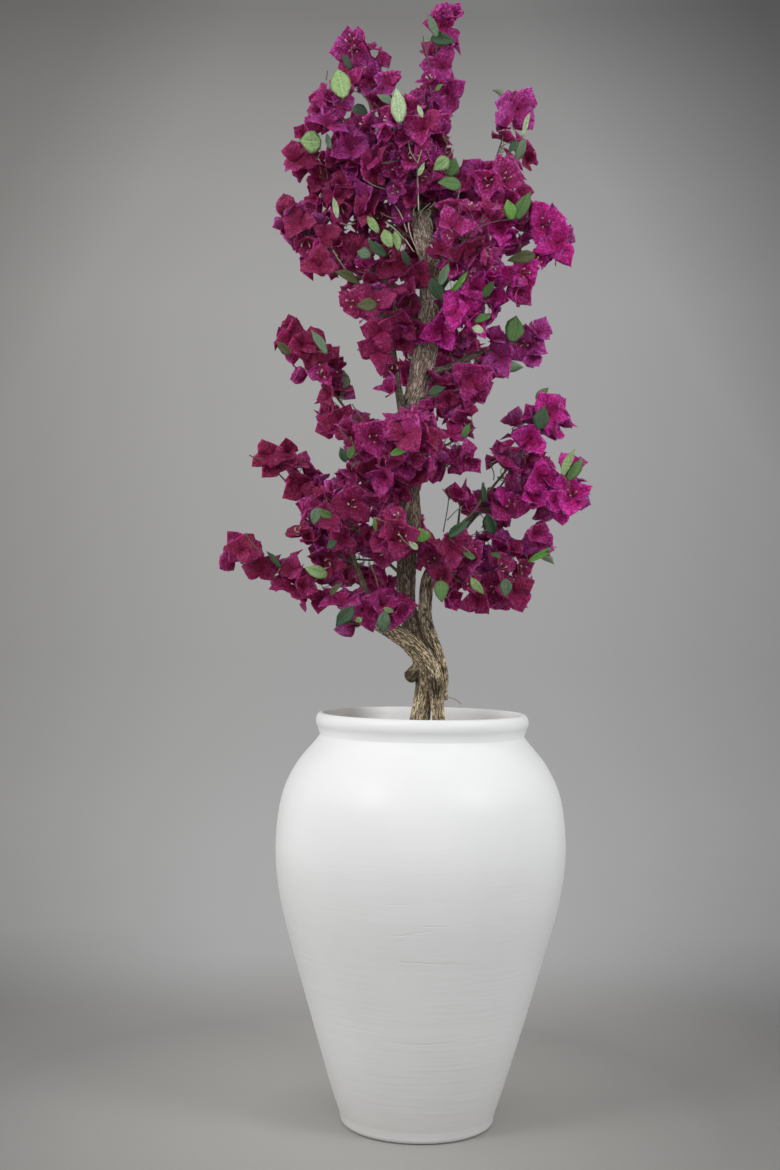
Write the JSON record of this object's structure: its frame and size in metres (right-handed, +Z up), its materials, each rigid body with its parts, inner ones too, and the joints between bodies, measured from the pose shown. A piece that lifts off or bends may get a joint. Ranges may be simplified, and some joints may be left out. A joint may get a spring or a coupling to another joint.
{
  "type": "artificial bougainvillea tree in an urn planter",
  "caption": "Artificial bougainvillea with magenta silk bracts on natural wood stems, in a tall matt white urn planter.",
  "frame": {"origin": "centre of the planter's flat underside", "axes": "+Z up along the planter's axis, -Y towards the pictured front, +X to the viewer's right"},
  "size_m": [0.6771, 0.6244, 2.0509],
  "materials": {
    "planter_white": "matte",
    "top_dressing": "matte",
    "bark": "matte",
    "bough_bark": "matte",
    "silk_foliage": "matte"
  },
  "bodies": {
    "root": {"pot": "planter_white", "planting_fill": "top_dressing", "stem_main": "bark", "stem_front": "bark", "stem_right": "bark", "bough_right_upper": "bough_bark", "bough_left_upper": "bough_bark", "bough_centre_left": "bough_bark", "bough_left_mid": "bough_bark", "bough_left_low": "bough_bark", "bough_right_low": "bough_bark", "bough_right_mid": "bough_bark", "bough_back_upper": "bough_bark", "bough_back_middle": "bough_bark", "bough_back_low": "bough_bark", "bough_front_upper": "bough_bark", "bough_front_low": "bough_bark", "spray_top": "silk_foliage", "spray_upper_left_tip": "silk_foliage", "spray_upper_left": "silk_foliage", "spray_upper_left_out": "silk_foliage", "spray_crown_front": "silk_foliage", "spray_crown_back": "silk_foliage", "spray_crown_right": "silk_foliage", "spray_right_tip": "silk_foliage", "spray_right_upper": "silk_foliage", "spray_right_far": "silk_foliage", "spray_right_upper_back": "silk_foliage", "spray_back_upper": "silk_foliage", "spray_front_upper": "silk_foliage", "spray_left_mid": "silk_foliage", "spray_left_mid_low": "silk_foliage", "spray_centre_left": "silk_foliage", "spray_centre_left_back": "silk_foliage", "spray_centre_left_low": "silk_foliage", "spray_centre_right": "silk_foliage", "spray_right_mid": "silk_foliage", "spray_right_mid_low": "silk_foliage", "spray_back_middle": "silk_foliage", "spray_back_right": "silk_foliage", "spray_left": "silk_foliage", "spray_mid_left": "silk_foliage", "spray_mid_front": "silk_foliage", "spray_centre_right_low": "silk_foliage", "spray_left_back": "silk_foliage", "spray_left_low": "silk_foliage", "spray_left_low_inner": "silk_foliage", "spray_low_left": "silk_foliage", "spray_low_front": "silk_foliage", "spray_lowest_left": "silk_foliage", "spray_lower_left_hang": "silk_foliage", "spray_back_low": "silk_foliage", "spray_back_low_left": "silk_foliage", "spray_right_low": "silk_foliage", "spray_right_low_front": "silk_foliage", "spray_right_low_hang": "silk_foliage", "spray_right_high": "silk_foliage", "spray_right_out": "silk_foliage", "spray_right_back": "silk_foliage", "spray_small_sprig": "silk_foliage"}
  },
  "joints": []
}
